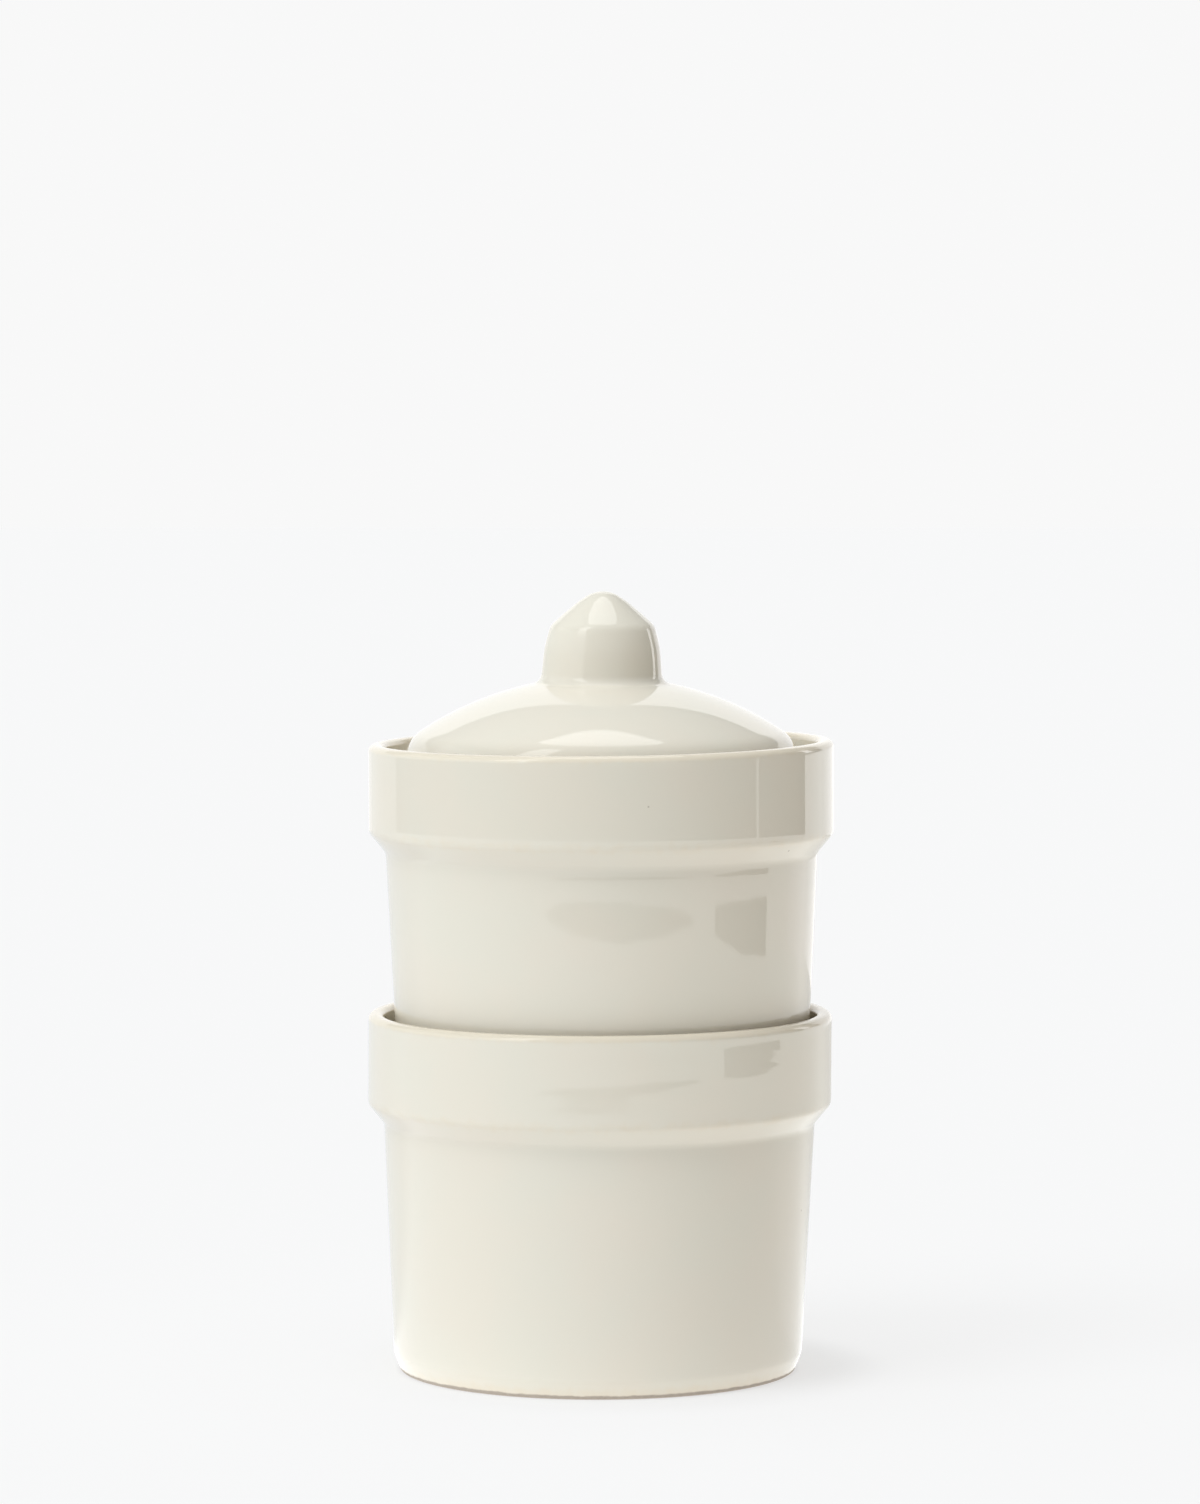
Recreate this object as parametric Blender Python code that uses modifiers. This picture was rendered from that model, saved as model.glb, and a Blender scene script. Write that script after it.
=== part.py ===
"""Stacking storage jars: two identical glazed stoneware jars and one domed lid.

The upper jar's foot stands on a ledge inside the lower jar's collar, and the lid's
skirt stands on the same ledge of the upper jar. All pieces are turned about Z, in
metres, with the origin on that axis at the plane that the lower jar stands on.
"""
import math

import bpy
from mathutils import Vector

COLLECTION = "stacking_jars"

# Driving dimensions
COLLAR_RADIUS = 0.0500          # outside of the collar
COLLAR_WALL = 0.0034
JAR_HEIGHT = 0.0771             # foot to rim
NEST_DEPTH = 0.0187             # how far a foot or a skirt sinks below the rim
GAP = 0.0003                    # air between two touching pieces

# Jar, outside
COLLAR_DROP = 0.0192            # rim down to the collar's lower edge
SHOULDER_DROP = 0.0235          # rim down to the top of the body
BODY_TOP_RADIUS = 0.0465
BODY_BASE_RADIUS = 0.0441
FOOT_BEVEL_HEIGHT = 0.0039
FOOT_RADIUS = 0.0426
FOOT_INNER_RADIUS = 0.0392
FOOT_RECESS = 0.0012            # height of the hollow under the base
RECESS_DRAFT = 0.0006           # how much narrower that hollow is at its top

# Jar, inside
FLOOR_THICKNESS = 0.0043
INNER_BASE_RADIUS = 0.0399
LEDGE_INNER_RADIUS = 0.0406
COLLAR_INSIDE_DRAFT = 0.0002    # how much narrower the collar is at its ledge

# Lid, heights from the plane that its skirt stands on
DOME_RADIUS = 0.0710
DOME_TOP = 0.0330               # where the dome would cross the axis, under the knob
DOME_WALL = 0.0040
DOME_EDGE_RADIUS = 0.0406
SKIRT_TOP_RADIUS = 0.0436
SKIRT_TOP_HEIGHT = 0.0137
SKIRT_INNER_RADIUS = 0.0396

# Knob, one with the lid and hollow from below
KNOB_TIP = 0.0529               # tip of its cone, before rounding
KNOB_TIP_ROUNDING = 0.0060
KNOB_SHOULDER_RADIUS = 0.0113
KNOB_SHOULDER_HEIGHT = 0.0444
KNOB_BASE_RADIUS = 0.0131
KNOB_BASE_ROUNDING = 0.0025
KNOB_HOLLOW_MOUTH = 0.0082
KNOB_HOLLOW_RADIUS = 0.0076
KNOB_HOLLOW_SHOULDER = 0.0410
KNOB_HOLLOW_TOP = 0.0454

# Fineness of the turned meshes
TURN_STEPS = 48
ARC_STEP = math.radians(30)     # largest turn between two points of a rounding
DOME_SPANS = 6
TIP_SPANS = 2

GLAZE_COLOUR = (0.760, 0.730, 0.650, 1.0)
GLAZE_ROUGHNESS = 0.12
LID_COLOUR = (0.780, 0.755, 0.680, 1.0)


def clear_scene():
    for obj in list(bpy.data.objects):
        bpy.data.objects.remove(obj, do_unlink=True)


def glaze(name, colour):
    """Plain Principled material of one glazed piece."""
    material = bpy.data.materials.new(name)
    material.use_nodes = True
    shader = material.node_tree.nodes["Principled BSDF"]
    shader.inputs["Base Color"].default_value = colour
    shader.inputs["Roughness"].default_value = GLAZE_ROUGHNESS
    shader.inputs["Metallic"].default_value = 0.0
    return material


def rounding(before, corner, after, radius):
    """Points of the arc that rounds one corner of an outline."""
    into = (corner - before).normalized()
    out_of = (after - corner).normalized()
    turn = into.angle_signed(out_of)
    side = math.copysign(1.0, turn)
    start = corner - into * radius * math.tan(abs(turn) / 2)
    to_centre = Vector((into.y, -into.x)) * side
    centre = start + to_centre * radius
    steps = max(1, math.ceil(abs(turn) / ARC_STEP))
    points = []
    for step in range(steps + 1):
        angle = -turn * step / steps
        spoke = -to_centre * radius
        turned = Vector((spoke.x * math.cos(angle) - spoke.y * math.sin(angle),
                         spoke.x * math.sin(angle) + spoke.y * math.cos(angle)))
        points.append(centre + turned)
    return points


def outline(corners):
    """Outline through (radius, height, rounding) corners, each rounded by an arc."""
    points = []
    for index, (radius, height, rounded) in enumerate(corners):
        corner = Vector((radius, height))
        if rounded == 0:
            points.append(corner)
            continue
        before = Vector(corners[index - 1][:2])
        after = Vector(corners[index + 1][:2])
        points.extend(rounding(before, corner, after, rounded))
    return points


def dome_height(dome_radius, out):
    """Height of a dome surface at a distance from the axis; all are about one centre."""
    return DOME_TOP - DOME_RADIUS + math.sqrt(dome_radius ** 2 - out ** 2)


def dome_corners(dome_radius, start, end):
    """Corners along a dome surface, from one distance from the axis to another."""
    corners = []
    for span in range(DOME_SPANS + 1):
        out = start + (end - start) * span / DOME_SPANS
        corners.append((out, dome_height(dome_radius, out), 0))
    return corners


def foot():
    """Corners of the ring that a piece stands on, from its outside to its inside."""
    return [
        (BODY_BASE_RADIUS, FOOT_BEVEL_HEIGHT, 0.0040),
        (FOOT_RADIUS, 0, 0.0006),
        (FOOT_INNER_RADIUS, 0, 0.0004),
    ]


def jar_corners():
    """Jar from the middle of its floor, up inside, over the rim and down to the base."""
    floor = FOOT_RECESS + FLOOR_THICKNESS
    ledge = JAR_HEIGHT - NEST_DEPTH - GAP
    collar_inside = COLLAR_RADIUS - COLLAR_WALL
    inside = [
        (0, floor, 0),
        (INNER_BASE_RADIUS, floor, 0.0060),
        (LEDGE_INNER_RADIUS, ledge, 0.0008),
        (collar_inside - COLLAR_INSIDE_DRAFT, ledge, 0.0010),
        (collar_inside, JAR_HEIGHT, 0.0013),
    ]
    outside = [
        (COLLAR_RADIUS, JAR_HEIGHT, 0.0015),
        (COLLAR_RADIUS, JAR_HEIGHT - COLLAR_DROP, 0.0020),
        (BODY_TOP_RADIUS, JAR_HEIGHT - SHOULDER_DROP, 0.0030),
    ]
    underside = [
        (FOOT_INNER_RADIUS - RECESS_DRAFT, FOOT_RECESS, 0.0005),
        (0, FOOT_RECESS, 0),
    ]
    return inside + outside + foot() + underside


def knob_tip():
    """Corners of the knob's rounded tip, from the axis to where its cone starts."""
    slope = math.atan2(KNOB_TIP - KNOB_SHOULDER_HEIGHT, KNOB_SHOULDER_RADIUS)
    centre = KNOB_TIP - KNOB_TIP_ROUNDING / math.cos(slope)
    corners = []
    for step in range(TIP_SPANS + 1):
        angle = slope * step / TIP_SPANS
        out = KNOB_TIP_ROUNDING * math.sin(angle)
        height = centre + KNOB_TIP_ROUNDING * math.cos(angle)
        corners.append((out, height, 0))
    return corners


def lid_corners():
    """Lid from the knob's tip, down its outside, round the skirt and up its underside."""
    knob = knob_tip() + [
        (KNOB_SHOULDER_RADIUS, KNOB_SHOULDER_HEIGHT, 0.0040),
        (KNOB_BASE_RADIUS, dome_height(DOME_RADIUS, KNOB_BASE_RADIUS), KNOB_BASE_ROUNDING),
    ]
    dome = dome_corners(DOME_RADIUS, KNOB_BASE_RADIUS + KNOB_BASE_ROUNDING, DOME_EDGE_RADIUS - 0.0015)
    skirt = [
        (DOME_EDGE_RADIUS, dome_height(DOME_RADIUS, DOME_EDGE_RADIUS), 0.0010),
        (SKIRT_TOP_RADIUS, SKIRT_TOP_HEIGHT, 0.0050),
    ]
    under_dome = DOME_RADIUS - DOME_WALL
    underside = [(SKIRT_INNER_RADIUS, dome_height(under_dome, SKIRT_INNER_RADIUS), 0.0030)]
    underside += dome_corners(under_dome, SKIRT_INNER_RADIUS - 0.0040, KNOB_HOLLOW_MOUTH + 0.0020)
    hollow = [
        (KNOB_HOLLOW_MOUTH, dome_height(under_dome, KNOB_HOLLOW_MOUTH), 0.0012),
        (KNOB_HOLLOW_RADIUS, KNOB_HOLLOW_SHOULDER, 0.0030),
        (0, KNOB_HOLLOW_TOP, 0),
    ]
    return knob + dome + skirt + foot() + underside + hollow


def turned_mesh(name, points):
    """Outline in the XZ plane, as the edges that a Screw modifier turns about Z."""
    mesh = bpy.data.meshes.new(name)
    vertices = [(point.x, 0, point.y) for point in points]
    edges = [(index, index + 1) for index in range(len(points) - 1)]
    mesh.from_pydata(vertices, edges, [])
    return mesh


def turned_object(name, mesh, material, parent, collection):
    obj = bpy.data.objects.new(name, mesh)
    obj.data.materials.clear()
    obj.data.materials.append(material)
    collection.objects.link(obj)
    obj.parent = parent
    screw = obj.modifiers.new("Turn", "SCREW")
    screw.axis = "Z"
    screw.angle = math.tau
    screw.steps = TURN_STEPS
    screw.render_steps = TURN_STEPS
    screw.use_merge_vertices = True
    screw.merge_threshold = 0.00001
    screw.use_smooth_shade = True
    return obj


def seat(name, height, parent, collection):
    """Empty on the axis where a piece stands; the piece lifts straight up from it."""
    empty = bpy.data.objects.new(name, None)
    empty.empty_display_size = COLLAR_RADIUS
    empty.location = (0, 0, height)
    empty.parent = parent
    collection.objects.link(empty)
    return empty


def build():
    clear_scene()
    collection = bpy.data.collections.new(COLLECTION)
    bpy.context.scene.collection.children.link(collection)

    stack_step = JAR_HEIGHT - NEST_DEPTH
    lower_jar = turned_object("lower_jar", turned_mesh("lower_jar", outline(jar_corners())),
                              glaze("lower_jar_glaze", GLAZE_COLOUR), None, collection)
    upper_seat = seat("upper_jar_seat", stack_step, lower_jar, collection)
    upper_jar = turned_object("upper_jar", turned_mesh("upper_jar", outline(jar_corners())),
                              glaze("upper_jar_glaze", GLAZE_COLOUR), upper_seat, collection)
    lid_seat = seat("lid_seat", stack_step, upper_jar, collection)
    turned_object("lid", turned_mesh("lid", outline(lid_corners())),
                  glaze("lid_glaze", LID_COLOUR), lid_seat, collection)


build()
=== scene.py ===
import math

import bpy
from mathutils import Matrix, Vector, noise

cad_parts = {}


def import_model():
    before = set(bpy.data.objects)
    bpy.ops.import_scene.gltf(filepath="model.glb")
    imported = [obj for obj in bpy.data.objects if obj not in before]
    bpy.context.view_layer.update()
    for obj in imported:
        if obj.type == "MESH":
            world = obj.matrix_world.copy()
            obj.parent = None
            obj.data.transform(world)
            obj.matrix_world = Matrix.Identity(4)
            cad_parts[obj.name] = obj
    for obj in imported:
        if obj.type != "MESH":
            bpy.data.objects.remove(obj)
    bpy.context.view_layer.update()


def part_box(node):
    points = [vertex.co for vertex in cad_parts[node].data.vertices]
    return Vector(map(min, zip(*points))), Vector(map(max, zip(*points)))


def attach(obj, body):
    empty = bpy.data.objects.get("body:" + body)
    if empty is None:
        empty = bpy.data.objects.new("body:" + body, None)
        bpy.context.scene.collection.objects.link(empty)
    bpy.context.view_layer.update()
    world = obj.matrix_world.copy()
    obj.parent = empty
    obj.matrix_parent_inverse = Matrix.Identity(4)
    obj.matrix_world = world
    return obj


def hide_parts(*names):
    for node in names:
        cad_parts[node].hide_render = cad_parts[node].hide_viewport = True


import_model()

# ---------------------------------------------------------------- sizes from the frame
LOWER_LOW, LOWER_HIGH = (Vector(corner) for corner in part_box("lower_jar"))
UPPER_LOW = Vector(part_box("upper_jar")[0])
LID_LOW = Vector(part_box("lid")[0])
JAR_HEIGHT = LOWER_HIGH.z - LOWER_LOW.z
COLLAR_RADIUS = LOWER_HIGH.x
NEST_DEPTH = LOWER_HIGH.z - UPPER_LOW.z

# ---------------------------------------------------------------- sizes of the pieces
GAP = 0.0003
COLLAR_WALL = 0.0034
COLLAR_DRAFT = 0.0002
COLLAR_DEPTH = 0.0192
COLLAR_EDGE_ROUNDING = 0.0020
SHOULDER_DEPTH = 0.0235
SHOULDER_ROUNDING = 0.0030
RIM_INNER_ROUNDING = 0.0013
RIM_OUTER_ROUNDING = 0.0015
BODY_TOP_RADIUS = 0.0465
BODY_BASE_RADIUS = 0.0441
FOOT_BEVEL_HEIGHT = 0.0039
FOOT_BEVEL_ROUNDING = 0.0040
FOOT_RADIUS = 0.0426
FOOT_EDGE_ROUNDING = 0.0006
FOOT_INNER_RADIUS = 0.0392
FOOT_INNER_EDGE_ROUNDING = 0.0004
FOOT_INNER_SLOPE = 0.0006
FOOT_RECESS = 0.0012
FOOT_RECESS_ROUNDING = 0.0005
FLOOR_THICKNESS = 0.0043
INNER_BASE_RADIUS = 0.0399
INNER_BASE_ROUNDING = 0.0060
LEDGE_INNER_RADIUS = 0.0406
LEDGE_EDGE_ROUNDING = 0.0008
LEDGE_CORNER_ROUNDING = 0.0010

DOME_RADIUS = 0.0710
DOME_TOP = 0.0330
DOME_WALL = 0.0040
DOME_EDGE_RADIUS = 0.0406
DOME_EDGE_ROUNDING = 0.0070
DOME_EDGE_MARGIN = 0.0025
SKIRT_TOP_RADIUS = 0.0436
SKIRT_TOP_HEIGHT = 0.0137
SKIRT_TOP_ROUNDING = 0.0050
SKIRT_INNER_RADIUS = 0.0396
SKIRT_INNER_ROUNDING = 0.0030
SKIRT_INNER_MARGIN = 0.0040
KNOB_TIP_HEIGHT = 0.0513
KNOB_TIP_ROUNDING = 0.0065
KNOB_TIP_SLOPE = math.radians(30)
KNOB_CONE_ROUNDING = 0.0140
KNOB_UPPER_RADIUS = 0.0052
KNOB_UPPER_HEIGHT = 0.04915
KNOB_LOWER_RADIUS = 0.0085
KNOB_LOWER_HEIGHT = 0.0464
KNOB_SHOULDER_RADIUS = 0.0112
KNOB_SHOULDER_HEIGHT = 0.0440
KNOB_SHOULDER_ROUNDING = 0.0034
KNOB_SIDE_RADIUS = 0.0125
KNOB_SIDE_HEIGHT = 0.0390
KNOB_SIDE_ROUNDING = 0.0180
KNOB_BASE_RADIUS = 0.0131
KNOB_BASE_ROUNDING = 0.0025
KNOB_HOLLOW_MOUTH = 0.0082
KNOB_HOLLOW_MOUTH_ROUNDING = 0.0012
KNOB_HOLLOW_MARGIN = 0.0020
KNOB_HOLLOW_RADIUS = 0.0076
KNOB_HOLLOW_SHOULDER = 0.0410
KNOB_HOLLOW_SHOULDER_ROUNDING = 0.0030
KNOB_HOLLOW_TOP = 0.0454

# ---------------------------------------------------------------- fineness of the meshes
TURN_STEPS = 192
ARC_STEP = math.radians(9)
SPAN = 0.0016
DOME_SPANS = 18
TIP_SPANS = 6

# ---------------------------------------------------------------- unevenness of the fired clay
# A span, here and below, is the pair of values between which a smooth step runs.
SLOW_WAVE, SLOW_WAVE_SIZE, SLOW_WAVE_TALL = 0.00012, 0.035, 9
QUICK_WAVE, QUICK_WAVE_SIZE = 0.000005, 0.012
WAVE_SPAN = (0.2, 0.8)
RIM_WAVE, RIM_WAVE_SIZE = 0.00015, 0.05
RIM_RISE = 0.0003
RIM_RISE_SPAN = (0.77, 1.0)
RIDGE_SPACING = 0.0085
RIDGES_BOTTOM_SPAN = (0.78, 0.82)
RIDGES_TOP_SPAN = (0.98, 0.94)
LID_WAVE, LID_WAVE_SIZE, LID_WAVE_UPWARD = 0.00008, 0.030, 0.02
LID_WAVE_SPAN = (0.05, 0.4)
LID_SHIFT = 0.00035
KNOB_LEAN = 0.014
KNOB_ROOT_HEIGHT = 0.031
KNOB_LEAN_SPAN = (0.030, 0.036)

# ---------------------------------------------------------------- where the glaze is thin or missing
LIP_THIN_SPAN = (JAR_HEIGHT - 0.0020, JAR_HEIGHT - 0.0003)
COLLAR_EDGE_HEIGHT = JAR_HEIGHT - 0.0190
COLLAR_EDGE_THIN, COLLAR_EDGE_THIN_SPAN = 0.35, (0.0022, 0.0006)
FOOT_THIN, FOOT_THIN_SPAN = 0.8, (0.0030, 0.0008)
# The foot ring is bare clay where the glaze is missing; its dark clay colour also carries painted contact
# shade.
JAR_BARE_AND_SHADE_SPAN = (0.0009, 0.0003)
LID_THIN_SPAN = (0.0035, 0.0010)
LID_BARE_AND_SHADE_SPAN = (0.0014, 0.0006)


# ---------------------------------------------------------------- outlines
def rounding(before, corner, after, radius):
    """Points of the arc that rounds one corner of an outline."""
    into = (corner - before).normalized()
    out_of = (after - corner).normalized()
    turn = into.angle_signed(out_of)
    start = corner - into * radius * math.tan(abs(turn) / 2)
    to_centre = Vector((into.y, -into.x)) * math.copysign(1.0, turn)
    centre = start + to_centre * radius
    steps = max(2, math.ceil(abs(turn) / ARC_STEP))
    points = []
    for step in range(steps + 1):
        angle = -turn * step / steps
        spoke = -to_centre * radius
        points.append(centre + Vector((spoke.x * math.cos(angle) - spoke.y * math.sin(angle),
                                       spoke.x * math.sin(angle) + spoke.y * math.cos(angle))))
    return points


def outline(corners):
    """Outline through (radius, height, rounding) corners, its straight runs cut into short spans."""
    points = []
    for index, (radius, height, rounded) in enumerate(corners):
        corner = Vector((radius, height))
        if rounded == 0:
            points.append(corner)
            continue
        before = Vector(corners[index - 1][:2])
        after = Vector(corners[index + 1][:2])
        points.extend(rounding(before, corner, after, rounded))
    fine = [points[0]]
    for point in points[1:]:
        last = fine[-1]
        spans = max(1, round((point - last).length / SPAN))
        for span in range(1, spans + 1):
            fine.append(last.lerp(point, span / spans))
    return fine


def dome_height(dome_radius, out):
    return DOME_TOP - DOME_RADIUS + math.sqrt(dome_radius ** 2 - out ** 2)


def dome_corners(dome_radius, start, end):
    corners = []
    for span in range(DOME_SPANS + 1):
        out = start + (end - start) * span / DOME_SPANS
        corners.append((out, dome_height(dome_radius, out), 0))
    return corners


def foot():
    return [
        (BODY_BASE_RADIUS, FOOT_BEVEL_HEIGHT, FOOT_BEVEL_ROUNDING),
        (FOOT_RADIUS, 0, FOOT_EDGE_ROUNDING),
        (FOOT_INNER_RADIUS, 0, FOOT_INNER_EDGE_ROUNDING),
    ]


def jar_corners():
    floor = FOOT_RECESS + FLOOR_THICKNESS
    ledge = JAR_HEIGHT - NEST_DEPTH - GAP
    collar_inside = COLLAR_RADIUS - COLLAR_WALL
    return [
        (0, floor, 0),
        (INNER_BASE_RADIUS, floor, INNER_BASE_ROUNDING),
        (LEDGE_INNER_RADIUS, ledge, LEDGE_EDGE_ROUNDING),
        (collar_inside - COLLAR_DRAFT, ledge, LEDGE_CORNER_ROUNDING),
        (collar_inside, JAR_HEIGHT, RIM_INNER_ROUNDING),
        (COLLAR_RADIUS, JAR_HEIGHT, RIM_OUTER_ROUNDING),
        (COLLAR_RADIUS, JAR_HEIGHT - COLLAR_DEPTH, COLLAR_EDGE_ROUNDING),
        (BODY_TOP_RADIUS, JAR_HEIGHT - SHOULDER_DEPTH, SHOULDER_ROUNDING),
    ] + foot() + [
        (FOOT_INNER_RADIUS - FOOT_INNER_SLOPE, FOOT_RECESS, FOOT_RECESS_ROUNDING),
        (0, FOOT_RECESS, 0),
    ]


def knob_tip():
    centre = KNOB_TIP_HEIGHT - KNOB_TIP_ROUNDING
    corners = []
    for step in range(TIP_SPANS + 1):
        angle = KNOB_TIP_SLOPE * step / TIP_SPANS
        out = KNOB_TIP_ROUNDING * math.sin(angle)
        corners.append((out, centre + KNOB_TIP_ROUNDING * math.cos(angle), 0))
    return corners


def lid_corners():
    knob = knob_tip() + [
        (KNOB_UPPER_RADIUS, KNOB_UPPER_HEIGHT, KNOB_CONE_ROUNDING),
        (KNOB_LOWER_RADIUS, KNOB_LOWER_HEIGHT, KNOB_CONE_ROUNDING),
        (KNOB_SHOULDER_RADIUS, KNOB_SHOULDER_HEIGHT, KNOB_SHOULDER_ROUNDING),
        (KNOB_SIDE_RADIUS, KNOB_SIDE_HEIGHT, KNOB_SIDE_ROUNDING),
        (KNOB_BASE_RADIUS, dome_height(DOME_RADIUS, KNOB_BASE_RADIUS), KNOB_BASE_ROUNDING),
    ]
    dome_start = KNOB_BASE_RADIUS + KNOB_BASE_ROUNDING
    dome = dome_corners(DOME_RADIUS, dome_start, DOME_EDGE_RADIUS - DOME_EDGE_MARGIN)
    skirt = [
        (DOME_EDGE_RADIUS, dome_height(DOME_RADIUS, DOME_EDGE_RADIUS), DOME_EDGE_ROUNDING),
        (SKIRT_TOP_RADIUS, SKIRT_TOP_HEIGHT, SKIRT_TOP_ROUNDING),
    ]
    under_dome = DOME_RADIUS - DOME_WALL
    skirt_inner_top = dome_height(under_dome, SKIRT_INNER_RADIUS)
    underside = [(SKIRT_INNER_RADIUS, skirt_inner_top, SKIRT_INNER_ROUNDING)]
    underside += dome_corners(under_dome, SKIRT_INNER_RADIUS - SKIRT_INNER_MARGIN,
                              KNOB_HOLLOW_MOUTH + KNOB_HOLLOW_MARGIN)
    mouth_height = dome_height(under_dome, KNOB_HOLLOW_MOUTH)
    hollow = [
        (KNOB_HOLLOW_MOUTH, mouth_height, KNOB_HOLLOW_MOUTH_ROUNDING),
        (KNOB_HOLLOW_RADIUS, KNOB_HOLLOW_SHOULDER, KNOB_HOLLOW_SHOULDER_ROUNDING),
        (0, KNOB_HOLLOW_TOP, 0),
    ]
    return knob + dome + skirt + foot() + underside + hollow


# ---------------------------------------------------------------- turned meshes
def smooth(low, high, value):
    """0 below low, 1 above high, and a smooth step between them."""
    part = min(1.0, max(0.0, (value - low) / (high - low)))
    return part * part * (3 - 2 * part)


def turned(name, points, bend, wear, seed):
    """Outline turned about Z into a closed mesh, then moved point by point by bend(point, seed).

    wear(radius, height) gives how thin the glaze is there and how bare the clay, both 0 to 1; the bare
    clay's colour also carries painted contact shade.
    """
    vertices, faces, rings, thin, bare_and_shade = [], [], [], [], []
    for point in points:
        steps = TURN_STEPS if point.x > 1e-7 else 1
        ring = []
        for step in range(steps):
            angle = math.tau * step / steps
            on_ring = Vector((point.x * math.cos(angle), point.x * math.sin(angle), point.y))
            ring.append(len(vertices))
            vertices.append(bend(on_ring, seed))
            for values, value in zip((thin, bare_and_shade), wear(point.x, point.y)):
                values.append(value)
        rings.append(ring)
    for above, below in zip(rings, rings[1:]):
        for step in range(TURN_STEPS):
            after = (step + 1) % TURN_STEPS
            corners = [above[step % len(above)], below[step % len(below)],
                       below[after % len(below)], above[after % len(above)]]
            faces.append(list(dict.fromkeys(corners)))
    mesh = bpy.data.meshes.new(name)
    mesh.from_pydata(vertices, [], faces)
    mesh.validate()
    for key, values in (("thin_glaze", thin), ("bare_clay_and_shade", bare_and_shade)):
        mesh.attributes.new(key, "FLOAT", "POINT").data.foreach_set("value", values)
    mesh.shade_smooth()
    obj = bpy.data.objects.new(name, mesh)
    bpy.context.scene.collection.objects.link(obj)
    return obj


def waves(point, seed, size, tall=1.0):
    """A slow unevenness, from -1 to 1, in patches of about the given size, tall times as high as wide."""
    return noise.noise(Vector((point.x, point.y, point.z / tall)) / size + Vector((seed, 0, 0)))


def jar_bend(lean, shift, rim_tilt, ridges, base_z):
    """How fired clay leaves a jar: a little out of round, leaning, its rim not quite level.

    ridges is the height of the shallow ridges round the collar.
    """
    def bend(point, seed):
        up = point.z / JAR_HEIGHT
        radial = Vector((point.x, point.y, 0))
        spread = radial.length / COLLAR_RADIUS
        wave = waves(point, seed, SLOW_WAVE_SIZE, SLOW_WAVE_TALL) * SLOW_WAVE
        wave += waves(point, seed + 9, QUICK_WAVE_SIZE) * QUICK_WAVE
        collar = smooth(*RIDGES_BOTTOM_SPAN, up) * smooth(*RIDGES_TOP_SPAN, up)
        wave += ridges * math.sin(math.tau * (JAR_HEIGHT - point.z) / RIDGE_SPACING) * collar
        moved = point + radial.normalized() * wave * smooth(*WAVE_SPAN, spread)
        moved.x += shift + lean * point.z
        above_ledge = smooth(*RIM_RISE_SPAN, up)
        rim_wave = waves(radial, seed + 5, RIM_WAVE_SIZE) * RIM_WAVE
        moved.z += (RIM_RISE + rim_tilt * point.x + rim_wave) * above_ledge
        moved.z += base_z
        return moved
    return bend


def foot_ring(radius, height, height_span):
    """1 on the foot ring, 0 above it and inside it."""
    outside = smooth(FOOT_INNER_RADIUS - FOOT_INNER_SLOPE, FOOT_INNER_RADIUS, radius)
    return outside * smooth(*height_span, height)


def jar_wear(radius, height):
    """Glaze runs thin on the lip, on the collar's lower edge and near the foot; the foot ring is bare
    clay, its dark colour partly painted contact shade.
    """
    from_edge = math.hypot(radius - COLLAR_RADIUS, height - COLLAR_EDGE_HEIGHT)
    thin = max(smooth(*LIP_THIN_SPAN, height),
               COLLAR_EDGE_THIN * smooth(*COLLAR_EDGE_THIN_SPAN, from_edge),
               FOOT_THIN * smooth(*FOOT_THIN_SPAN, height))
    return thin, foot_ring(radius, height, JAR_BARE_AND_SHADE_SPAN)


def lid_wear(radius, height):
    return smooth(*LID_THIN_SPAN, height), foot_ring(radius, height, LID_BARE_AND_SHADE_SPAN)


def lid_bend(point, seed):
    """The lid's dome is a little uneven, and its knob leans a little to one side."""
    radial = Vector((point.x, point.y, 0))
    spread = radial.length / COLLAR_RADIUS
    wave = waves(point, seed, LID_WAVE_SIZE) * LID_WAVE
    outward = Vector((radial.x, radial.y, LID_WAVE_UPWARD)).normalized()
    moved = point + outward * wave * smooth(*LID_WAVE_SPAN, spread)
    knob = smooth(*KNOB_LEAN_SPAN, point.z)
    moved.x += LID_SHIFT + KNOB_LEAN * (point.z - KNOB_ROOT_HEIGHT) * knob
    moved.z += LID_LOW.z
    return moved


# ---------------------------------------------------------------- materials
IVORY_COOL = (0.755, 0.700, 0.585)
IVORY_WARM = (0.770, 0.698, 0.580)
TAN = (0.76, 0.67, 0.53)
PIT = (0.30, 0.22, 0.15)
# Bare clay of the foot ring, made dark enough to hold painted contact shade as well.
CLAY_WITH_PAINTED_SHADE = (0.36, 0.30, 0.24)
CLAY_PALE_WITH_PAINTED_SHADE = (0.47, 0.40, 0.33)
GLAZE_IOR = 1.5
NOISE_SPAN = (0.3, 0.7)
CLOUD_SCALE, CLOUD_DETAIL = 45, 3
RAGGED_SCALE, RAGGED_DETAIL, RAGGED_SHARE = 420, 4, 0.9
TAN_SPAN = (0.55, 1.25)
PIT_SCALE = 300
PIT_SPAN = (0.13, 0.06)
PIT_RARITY = 0.990
PITS_WHERE_THIN = 0.03
PIT_DEPTH = 3.0
CLAY_AND_SHADE_SPAN = (0.75, 1.0)
CLAY_RAGGED_SHARE = 0.5
CLAY_GRAIN_SCALE, CLAY_GRAIN_DETAIL = 1600, 2
GLOSS_SCALE, GLOSS_DETAIL = 90, 2
GLAZE_ROUGHNESS = (0.018, 0.028)
THIN_ROUGHNESS = 0.08
CLAY_ROUGHNESS = 0.85
FINE_PEEL_SCALE, FINE_PEEL_DETAIL = 650, 1
WIDE_PEEL_SCALE, WIDE_PEEL_DETAIL, WIDE_PEEL_SHARE = 160, 2, 2.0
RELIEF_STRENGTH = 0.08
RELIEF_DEPTH = 0.00002


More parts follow.
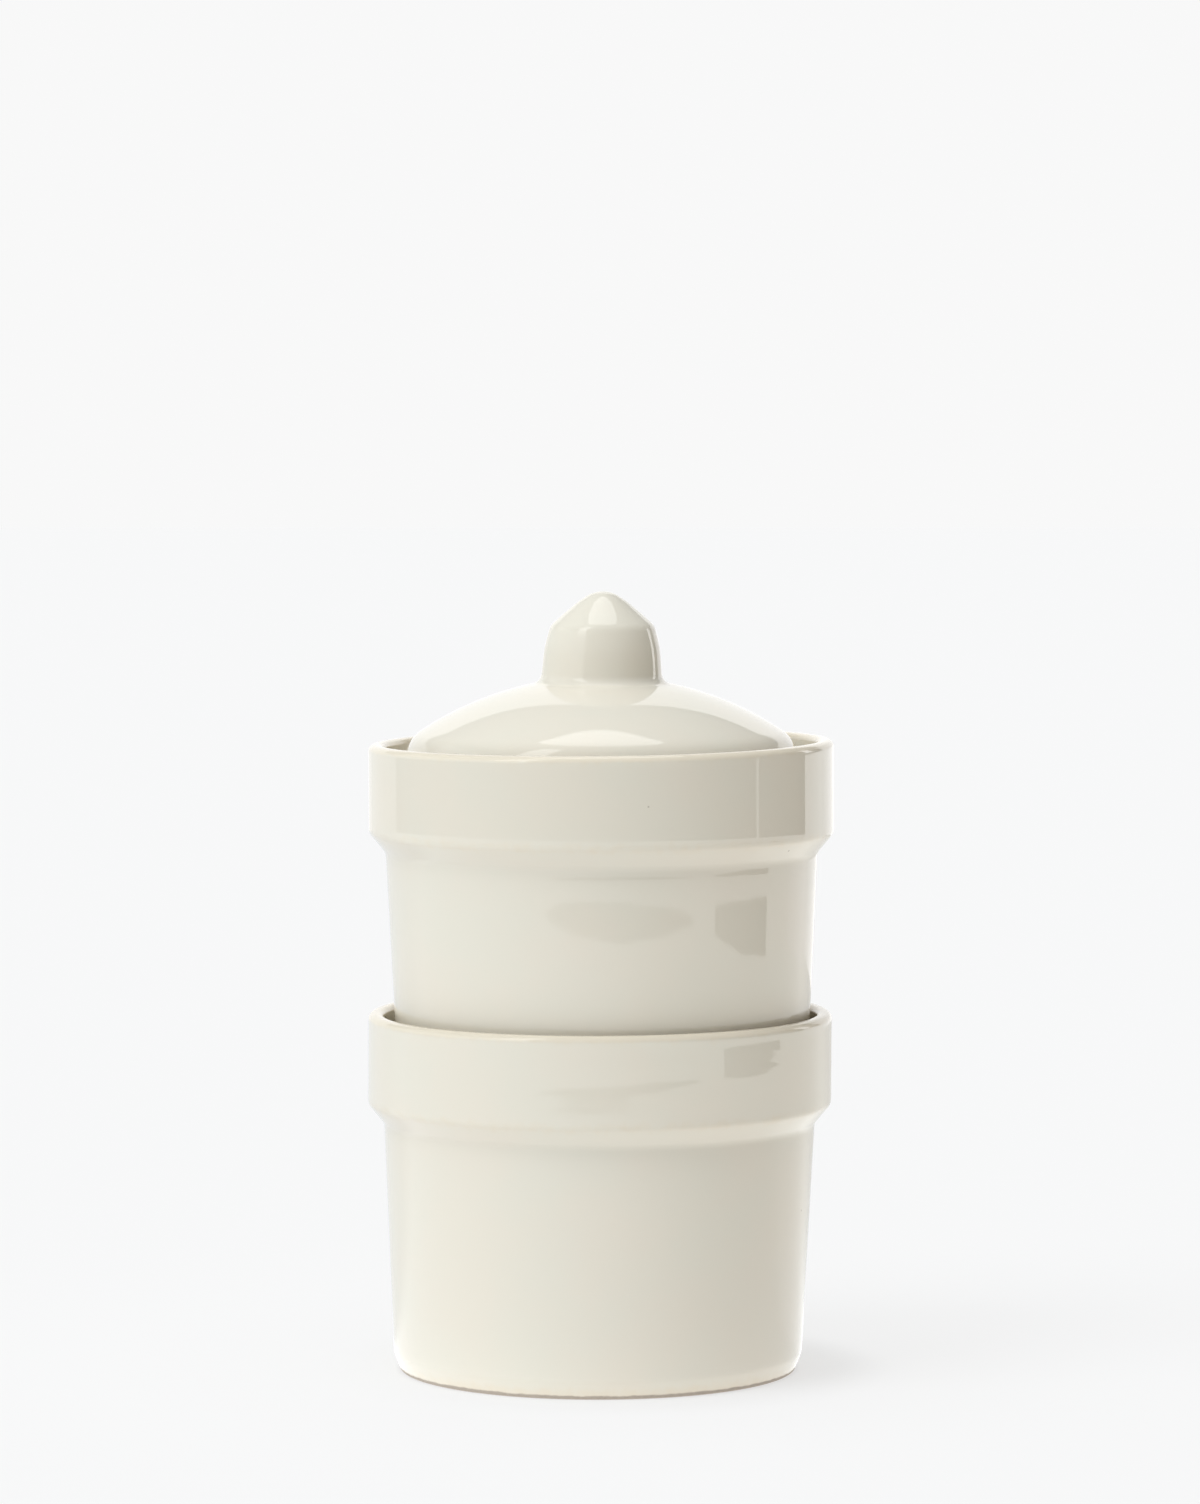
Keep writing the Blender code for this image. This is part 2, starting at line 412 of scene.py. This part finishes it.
def node(tree, kind, **settings):
    made = tree.nodes.new(kind)
    for key, value in settings.items():
        setattr(made, key, value)
    return made


def value_noise(tree, place, scale, detail):
    made = node(tree, "ShaderNodeTexNoise")
    made.inputs["Scale"].default_value = scale
    made.inputs["Detail"].default_value = detail
    tree.links.new(place.outputs["Object"], made.inputs["Vector"])
    return made.outputs[0]


def remap(tree, value, low, high, to_low, to_high):
    made = node(tree, "ShaderNodeMapRange", interpolation_type="SMOOTHSTEP")
    for key, number in (("From Min", low), ("From Max", high), ("To Min", to_low), ("To Max", to_high)):
        made.inputs[key].default_value = number
    tree.links.new(value, made.inputs["Value"])
    return made.outputs[0]


def arithmetic(tree, operation, first, second):
    made = node(tree, "ShaderNodeMath", operation=operation)
    for socket, value in zip(made.inputs, (first, second)):
        if isinstance(value, (int, float)):
            socket.default_value = value
        else:
            tree.links.new(value, socket)
    return made.outputs[0]


def blend(tree, factor, first, second):
    """Colour mix; first and second are colours or colour outputs."""
    made = node(tree, "ShaderNodeMix", data_type="RGBA")
    for key, value in (("A", first), ("B", second)):
        if isinstance(value, tuple):
            made.inputs[key].default_value = (*value, 1)
        else:
            tree.links.new(value, made.inputs[key])
    tree.links.new(factor, made.inputs["Factor"])
    return made.outputs["Result"]


def glaze():
    """Glossy ivory glaze on stoneware: cloudy, tan where it runs thin, gone on the foot ring, where the
    dark clay colour also holds painted contact shade.
    """
    material = bpy.data.materials.new("ivory_glaze")
    material.use_nodes = True
    tree = material.node_tree
    shader = tree.nodes["Principled BSDF"]
    shader.inputs["IOR"].default_value = GLAZE_IOR
    place = node(tree, "ShaderNodeTexCoord")
    thin = node(tree, "ShaderNodeAttribute", attribute_name="thin_glaze").outputs["Fac"]
    bare_and_shade = node(tree, "ShaderNodeAttribute", attribute_name="bare_clay_and_shade").outputs["Fac"]

    clouds = remap(tree, value_noise(tree, place, CLOUD_SCALE, CLOUD_DETAIL), *NOISE_SPAN, 0, 1)
    colour = blend(tree, clouds, IVORY_COOL, IVORY_WARM)
    ragged = value_noise(tree, place, RAGGED_SCALE, RAGGED_DETAIL)
    ragged = arithmetic(tree, "MULTIPLY", ragged, RAGGED_SHARE)
    thin_edge = remap(tree, arithmetic(tree, "ADD", thin, ragged), *TAN_SPAN, 0, 1)
    colour = blend(tree, thin_edge, colour, TAN)

    cells = node(tree, "ShaderNodeTexVoronoi")
    cells.inputs["Scale"].default_value = PIT_SCALE
    tree.links.new(place.outputs["Object"], cells.inputs["Vector"])
    pit = remap(tree, cells.outputs["Distance"], *PIT_SPAN, 0, 1)
    draw = node(tree, "ShaderNodeSeparateColor")
    tree.links.new(cells.outputs["Color"], draw.inputs[0])
    more_pits = arithmetic(tree, "MULTIPLY", thin, PITS_WHERE_THIN)
    chance = arithmetic(tree, "ADD", draw.outputs[0], more_pits)
    pit = arithmetic(tree, "MULTIPLY", pit, arithmetic(tree, "GREATER_THAN", chance, PIT_RARITY))
    colour = blend(tree, pit, colour, PIT)

    clay_ragged = arithmetic(tree, "MULTIPLY", ragged, CLAY_RAGGED_SHARE)
    # The bare foot ring: clay colour with painted contact shade in it.
    clay_and_shade_edge = remap(tree, arithmetic(tree, "ADD", bare_and_shade, clay_ragged), *CLAY_AND_SHADE_SPAN, 0, 1)
    grain = value_noise(tree, place, CLAY_GRAIN_SCALE, CLAY_GRAIN_DETAIL)
    colour = blend(tree, clay_and_shade_edge, colour, blend(tree, grain, CLAY_WITH_PAINTED_SHADE, CLAY_PALE_WITH_PAINTED_SHADE))
    tree.links.new(colour, shader.inputs["Base Color"])

    gloss = value_noise(tree, place, GLOSS_SCALE, GLOSS_DETAIL)
    gloss = remap(tree, gloss, *NOISE_SPAN, *GLAZE_ROUGHNESS)
    gloss = arithmetic(tree, "ADD", gloss, arithmetic(tree, "MULTIPLY", thin_edge, THIN_ROUGHNESS))
    clay_gloss = arithmetic(tree, "MULTIPLY", clay_and_shade_edge, CLAY_ROUGHNESS)
    gloss = arithmetic(tree, "MAXIMUM", gloss, clay_gloss)
    tree.links.new(gloss, shader.inputs["Roughness"])

    fine_peel = value_noise(tree, place, FINE_PEEL_SCALE, FINE_PEEL_DETAIL)
    wide_peel = value_noise(tree, place, WIDE_PEEL_SCALE, WIDE_PEEL_DETAIL)
    wide_peel = arithmetic(tree, "MULTIPLY", wide_peel, WIDE_PEEL_SHARE)
    peel = arithmetic(tree, "ADD", fine_peel, wide_peel)
    relief = arithmetic(tree, "SUBTRACT", peel, arithmetic(tree, "MULTIPLY", pit, PIT_DEPTH))
    bump = node(tree, "ShaderNodeBump")
    bump.inputs["Strength"].default_value = RELIEF_STRENGTH
    bump.inputs["Distance"].default_value = RELIEF_DEPTH
    tree.links.new(relief, bump.inputs["Height"])
    tree.links.new(bump.outputs[0], shader.inputs["Normal"])
    return material


# ---------------------------------------------------------------- studio
WHITE = 0.94
REFLECTED = 0.32
FILL_LEFT = (0.68, 0.76, 0.82)
FILL_RIGHT = (0.15, 0.14, 0.135)

FLOOR_HALF_SIZE = 6.0
FLOOR_DROP = 0.00005
FLOOR_LIT = 1.12
FLOOR_SHADE, FLOOR_SHADE_NEAR = 0.16, 0.32
SHADE_SPAN = (0.066, 0.050)
PAPER_COLOUR = (1.0, 0.97, 0.945)
FLOOR_BOUNCE = (0.80, 0.90)
BOUNCE_WARM = (1.0, 0.995, 0.965)
BOUNCE_COOL = (1.0, 1.04, 1.08)
BOUNCE_SPAN = (0.25, -0.10)
FLOOR_HOT = 0.08
HOT_SIDE_SPAN = (0.03, -0.05)
HOT_REACH_SPAN = (0.070, 0.045)
FLOOR_MIRRORED = (1.15, 0.90)
FRONT_SPAN = (0.25, 0.65)
FLOOR_MIRRORED_RIGHT = 0.45
FRONT_RIGHT_SPAN = (0.20, 0.60)
FLOOR_MIRRORED_BACK_LEFT = 0.72
FLOOR_MIRRORED_BACK_RIGHT = (1.35, 0.72)
BACK_RIGHT_SPAN = (0.70, 0.95)
LEFT_TO_RIGHT_SPAN = (-0.1, 0.1)
BEHIND_SPAN = (0.35, 0.60)
BEHIND_REACHES_RIGHT = 0.28

CAMERA_LENS = 150
CAMERA_SENSOR = 36
CAMERA_PLACE = (0, -1.346, 0.2224)
CAMERA_DOWN = 3.78

ARC_STEPS = 12
CARD_STEPS = 36
OVAL_STEPS = 24
RING = 0.70
RING_TOP = 0.42
FLAG_FOOT = 0.055
STRIP_TOP = 0.11
TABLE_CARD_HEIGHT = 0.002
BACKDROP_TURNS = range(-62, 63, 2)
BACKDROP_DISTANCE = 1.3
BACKDROP_FOOT = -0.01
BACKDROP_SIDE_TOP = 0.53
BACKDROP_PEAK_WIDTH = 20
KEY_BOX_SIDES = (-61, -38)
KEY_BOX_LOW = (0.90, 0.56)
KEY_BOX_HIGH = (0.42, 1.10)


def number_mix(tree, factor, first, second):
    """Mix of two numbers; each may be a number or an output."""
    made = node(tree, "ShaderNodeMix", data_type="FLOAT")
    for key, value in (("Factor", factor), ("A", first), ("B", second)):
        if isinstance(value, (int, float)):
            made.inputs[key].default_value = value
        else:
            tree.links.new(value, made.inputs[key])
    return made.outputs["Result"]


def paper():
    """White paper: seen, mirrored and bouncing light it has its own brightness each time."""
    material = bpy.data.materials.new("white_paper")
    material.use_nodes = True
    tree = material.node_tree
    tree.nodes.clear()
    link = tree.links.new
    place = node(tree, "ShaderNodeTexCoord")
    split = node(tree, "ShaderNodeSeparateXYZ")
    distance = node(tree, "ShaderNodeVectorMath", operation="LENGTH")
    link(place.outputs["Object"], split.inputs[0])
    link(place.outputs["Object"], distance.inputs[0])
    across = split.outputs["X"]
    away = distance.outputs["Value"]

    hot_side = remap(tree, across, *HOT_SIDE_SPAN, 0, FLOOR_HOT)
    hot = arithmetic(tree, "MULTIPLY", hot_side, remap(tree, away, *HOT_REACH_SPAN, 0, 1))
    bounce = arithmetic(tree, "ADD", hot, remap(tree, across, *BOUNCE_SPAN, *FLOOR_BOUNCE))
    tint = blend(tree, remap(tree, across, *BOUNCE_SPAN, 0, 1), BOUNCE_WARM, BOUNCE_COOL)

    straight_back = arithmetic(tree, "DIVIDE", split.outputs["Y"], away)
    right = remap(tree, across, *LEFT_TO_RIGHT_SPAN, 0, 1)
    wider = arithmetic(tree, "MULTIPLY", right, BEHIND_REACHES_RIGHT)
    behind = remap(tree, arithmetic(tree, "ADD", straight_back, wider), *BEHIND_SPAN, 0, 1)
    back_right = remap(tree, straight_back, *BACK_RIGHT_SPAN, *FLOOR_MIRRORED_BACK_RIGHT)
    back = number_mix(tree, right, FLOOR_MIRRORED_BACK_LEFT, back_right)
    front_right = remap(tree, across, *FRONT_RIGHT_SPAN, 0, FLOOR_MIRRORED_RIGHT)
    front = arithmetic(tree, "ADD", remap(tree, away, *FRONT_SPAN, *FLOOR_MIRRORED), front_right)
    mirrored = number_mix(tree, behind, front, back)

    path = node(tree, "ShaderNodeLightPath")
    seen = path.outputs["Is Camera Ray"]
    shade = remap(tree, away, *SHADE_SPAN, FLOOR_SHADE, FLOOR_SHADE_NEAR)
    rest = arithmetic(tree, "SUBTRACT", WHITE, arithmetic(tree, "MULTIPLY", shade, FLOOR_LIT))
    unseen = number_mix(tree, path.outputs["Is Glossy Ray"], bounce, mirrored)
    glow = node(tree, "ShaderNodeEmission")
    link(number_mix(tree, seen, unseen, rest), glow.inputs["Strength"])
    link(blend(tree, seen, tint, (1.0, 1.0, 1.0)), glow.inputs["Color"])
    lit = node(tree, "ShaderNodeBsdfDiffuse")
    link(blend(tree, shade, (0.0, 0.0, 0.0), PAPER_COLOUR), lit.inputs["Color"])
    add = node(tree, "ShaderNodeAddShader")
    link(glow.outputs[0], add.inputs[0])
    link(lit.outputs[0], add.inputs[1])
    out = node(tree, "ShaderNodeOutputMaterial")
    link(add.outputs[0], out.inputs["Surface"])
    return material


def white_floor():
    size = FLOOR_HALF_SIZE
    corners = [(-size, -size, 0), (size, -size, 0), (size, size, 0), (-size, size, 0)]
    mesh = bpy.data.meshes.new("floor")
    mesh.from_pydata(corners, [], [(0, 1, 2, 3)])
    floor = bpy.data.objects.new("floor", mesh)
    bpy.context.scene.collection.objects.link(floor)
    floor.location.z = -FLOOR_DROP
    mesh.materials.append(paper())


def world():
    """White behind everything, dimmer in reflections, and a fill light brighter from the left."""
    made = bpy.data.worlds.new("studio")
    bpy.context.scene.world = made
    made.use_nodes = True
    tree = made.node_tree
    tree.nodes.clear()
    out = node(tree, "ShaderNodeOutputWorld")
    path = node(tree, "ShaderNodeLightPath")
    place = node(tree, "ShaderNodeTexCoord")
    split = node(tree, "ShaderNodeSeparateXYZ")
    across = node(tree, "ShaderNodeMapRange")
    across.inputs["From Min"].default_value = -1
    across.inputs["From Max"].default_value = 1
    sides = node(tree, "ShaderNodeMix", data_type="RGBA")
    sides.inputs["A"].default_value = (*FILL_LEFT, 1)
    sides.inputs["B"].default_value = (*FILL_RIGHT, 1)
    fill = node(tree, "ShaderNodeBackground")
    white = node(tree, "ShaderNodeBackground")
    white.inputs["Color"].default_value = (1, 1, 1, 1)
    seen = number_mix(tree, path.outputs["Is Camera Ray"], REFLECTED, WHITE)
    tree.links.new(seen, white.inputs["Strength"])
    tree.links.new(place.outputs["Generated"], split.inputs[0])
    tree.links.new(split.outputs["X"], across.inputs["Value"])
    tree.links.new(across.outputs[0], sides.inputs["Factor"])
    tree.links.new(sides.outputs["Result"], fill.inputs["Color"])
    mix = node(tree, "ShaderNodeMixShader")
    tree.links.new(path.outputs["Is Diffuse Ray"], mix.inputs[0])
    tree.links.new(white.outputs[0], mix.inputs[1])
    tree.links.new(fill.outputs[0], mix.inputs[2])
    tree.links.new(mix.outputs[0], out.inputs["Surface"])


def soft_sun(name, azimuth, elevation, width, strength, colour):
    """Soft light from far away; azimuth in degrees from the camera's side towards +X."""
    light = bpy.data.lights.new(name, "SUN")
    light.energy = strength
    light.angle = math.radians(width)
    light.color = colour
    obj = bpy.data.objects.new(name, light)
    turn, up = math.radians(azimuth), math.radians(elevation)
    towards = Vector((math.sin(turn) * math.cos(up), -math.cos(turn) * math.cos(up), math.sin(up)))
    obj.rotation_euler = towards.to_track_quat("Z", "Y").to_euler()
    obj.visible_glossy = False
    bpy.context.scene.collection.objects.link(obj)


def camera():
    data = bpy.data.cameras.new("camera")
    data.lens = CAMERA_LENS
    data.sensor_width = CAMERA_SENSOR
    data.clip_start = 0.01
    obj = bpy.data.objects.new("camera", data)
    obj.location = CAMERA_PLACE
    obj.rotation_euler = (math.radians(90 - CAMERA_DOWN), 0, 0)
    bpy.context.scene.collection.objects.link(obj)
    bpy.context.scene.camera = obj


def at(azimuth, distance, height):
    """Point round the jars; azimuth in degrees from the camera's side towards +X."""
    turn = math.radians(azimuth)
    return Vector((math.sin(turn) * distance, -math.cos(turn) * distance, height))


def arc(*stations):
    """Points along a line through (azimuth, distance, height) stations, curving with the azimuth."""
    points = []
    for first, last in zip(stations, stations[1:]):
        stops = (Vector(first).lerp(Vector(last), step / ARC_STEPS) for step in range(ARC_STEPS))
        points += [at(*stop) for stop in stops]
    return points + [at(*stations[-1])]


def along(stations, part):
    """Point at a share, from 0 to 1, of a line of points."""
    place = part * (len(stations) - 1)
    index = min(int(place), len(stations) - 2)
    return stations[index].lerp(stations[index + 1], place - index)


def card_material(name):
    material = bpy.data.materials.new(name)
    material.use_nodes = True
    tree = material.node_tree
    tree.nodes.clear()
    level = node(tree, "ShaderNodeAttribute", attribute_name="level")
    cover = node(tree, "ShaderNodeAttribute", attribute_name="cover")
    glow = node(tree, "ShaderNodeEmission")
    clear = node(tree, "ShaderNodeBsdfTransparent")
    mix = node(tree, "ShaderNodeMixShader")
    out = node(tree, "ShaderNodeOutputMaterial")
    tree.links.new(level.outputs["Fac"], glow.inputs["Strength"])
    tree.links.new(cover.outputs["Fac"], mix.inputs[0])
    tree.links.new(clear.outputs[0], mix.inputs[1])
    tree.links.new(glow.outputs[0], mix.inputs[2])
    tree.links.new(mix.outputs[0], out.inputs["Surface"])
    return material


def card(name, one_edge, other_edge, level, soft=0.0):
    """Panel between two lines of points that shows only in reflections.

    level is its brightness, as a number or as a pair for its two ends; soft is the share of its
    length and width over which its edges fade.
    """
    steps = CARD_STEPS
    ends = level if isinstance(level, tuple) else (level, level)
    vertices, faces, cover, levels = [], [], [], []
    for row in range(steps + 1):
        first, last = along(one_edge, row / steps), along(other_edge, row / steps)
        for column in range(steps + 1):
            vertices.append(first.lerp(last, column / steps))
            inset = min(row, column, steps - row, steps - column) / steps
            cover.append(smooth(0.0, soft, inset) if soft else 1.0)
            levels.append(ends[0] + (ends[1] - ends[0]) * row / steps)
    for row in range(steps):
        for column in range(steps):
            corner = row * (steps + 1) + column
            faces.append((corner, corner + 1, corner + steps + 2, corner + steps + 1))
    mesh = bpy.data.meshes.new(name)
    mesh.from_pydata(vertices, [], faces)
    mesh.attributes.new("cover", "FLOAT", "POINT").data.foreach_set("value", cover)
    mesh.attributes.new("level", "FLOAT", "POINT").data.foreach_set("value", levels)
    mesh.materials.append(card_material(name))
    obj = bpy.data.objects.new(name, mesh)
    bpy.context.scene.collection.objects.link(obj)
    obj.visible_camera = False
    obj.visible_diffuse = False
    obj.visible_shadow = False


def upright(name, azimuths, distance, low, high, level):
    """Card that is part of an upright ring round the jars."""
    edges = (arc(*((turn, distance, height) for turn in azimuths)) for height in (low, high))
    card(name, *edges, level)


def table_card(name, near, far, level, soft=0.0):
    """Card lying just above the floor, between two lines of (azimuth, distance) stations."""
    edges = (arc(*((*station, TABLE_CARD_HEIGHT) for station in line)) for line in (near, far))
    card(name, *edges, level, soft)


def overhead_box(name, centre, half, level, soft):
    """Oval lamp face hanging level over the jars."""
    turns = [math.pi * step / OVAL_STEPS for step in range(OVAL_STEPS + 1)]
    sides = [[Vector(centre) + Vector((-math.cos(turn) * half[0], side * math.sin(turn) * half[1], 0))
              for turn in turns] for side in (-1, 1)]
    card(name, *sides, level, soft)


def backdrop(level):
    """Wall behind the jars, with a tall smooth peak in its middle."""
    low, high = [], []
    for turn in BACKDROP_TURNS:
        height = BACKDROP_SIDE_TOP + math.exp(-(turn / BACKDROP_PEAK_WIDTH) ** 2)
        low.append(at(180 + turn, BACKDROP_DISTANCE, BACKDROP_FOOT))
        high.append(at(180 + turn, BACKDROP_DISTANCE, height))
    card("backdrop", low, high, level)


# ---------------------------------------------------------------- the object
lower_bend = jar_bend(lean=0.0065, shift=-0.00047, rim_tilt=0.0025, ridges=0.000006, base_z=LOWER_LOW.z)
upper_bend = jar_bend(lean=-0.0055, shift=0.0006, rim_tilt=0.012, ridges=0.000002, base_z=UPPER_LOW.z)
lower = turned("lower_jar_body", outline(jar_corners()), lower_bend, jar_wear, seed=1.7)
upper = turned("upper_jar_body", outline(jar_corners()), upper_bend, jar_wear, seed=23.1)
lid = turned("lid_with_knob", outline(lid_corners()), lid_bend, lid_wear, seed=41.3)
jar_glaze = glaze()
for piece, body, slot in ((lower, "lower_jar", "jar_glaze"), (upper, "upper_jar", "jar_glaze"),
                          (lid, "lid", "lid_glaze")):
    piece.data.materials.append(jar_glaze)
    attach(piece, body)
    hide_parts(body)

# ---------------------------------------------------------------- the studio
white_floor()
world()
camera()
soft_sun("key", azimuth=-52, elevation=48, width=32, strength=1.04, colour=(1.0, 1.06, 1.12))
soft_sun("top", azimuth=0, elevation=88, width=60, strength=1.32, colour=(1.0, 1.03, 1.06))

# name, azimuth of each end, distance, height of each edge, brightness
for ring_card in (
        ("right_flag", (81.3, 117), RING, FLAG_FOOT, RING_TOP, 0.0),
        ("right_flag_front", (40, 79.8), RING, FLAG_FOOT, RING_TOP, (0.12, 0.0)),
        ("right_strip", (117, 137), RING, 0.0, STRIP_TOP, 1.6),
        ("right_flag_high", (117, 137), 0.71, STRIP_TOP, RING_TOP, 0.3),
        ("right_line_high", (117, 125), RING, 0.16, RING_TOP, 2.8),
        ("right_edge", (138, 168), 0.75, 0.0, STRIP_TOP, 1.45),
        ("left_flag", (-118, 40), RING, FLAG_FOOT, 0.12, (0.30, 0.15)),
        ("left_card", (-125, -36), 0.90, 0.18, 0.75, (0.8, 1.4))):
    upright(*ring_card)
table_card("table_edge_right", near=((61, 0.590), (79, 0.580), (97, 0.610)),
           far=((61, 0.635), (79, 0.680), (97, 0.735)), level=0.0)
table_card("table_edge_front", near=((-30, 0.572), (-12, 0.540), (10, 0.530), (27, 0.547), (50, 0.597)),
           far=((-30, 0.575), (-21, 0.594), (10, 0.600), (35, 0.607), (50, 0.603)),
           level=(0.2, 0.0), soft=0.05)
backdrop(level=(1.5, 0.8))
overhead_box("overhead_box", centre=(0, 0.16, 1.0), half=(0.27, 0.26), level=2.3, soft=0.08)
card("key_box", [at(side, *KEY_BOX_LOW) for side in KEY_BOX_SIDES],
     [at(side, *KEY_BOX_HIGH) for side in KEY_BOX_SIDES], level=3.2, soft=0.10)

bpy.context.scene.view_settings.view_transform = "Standard"
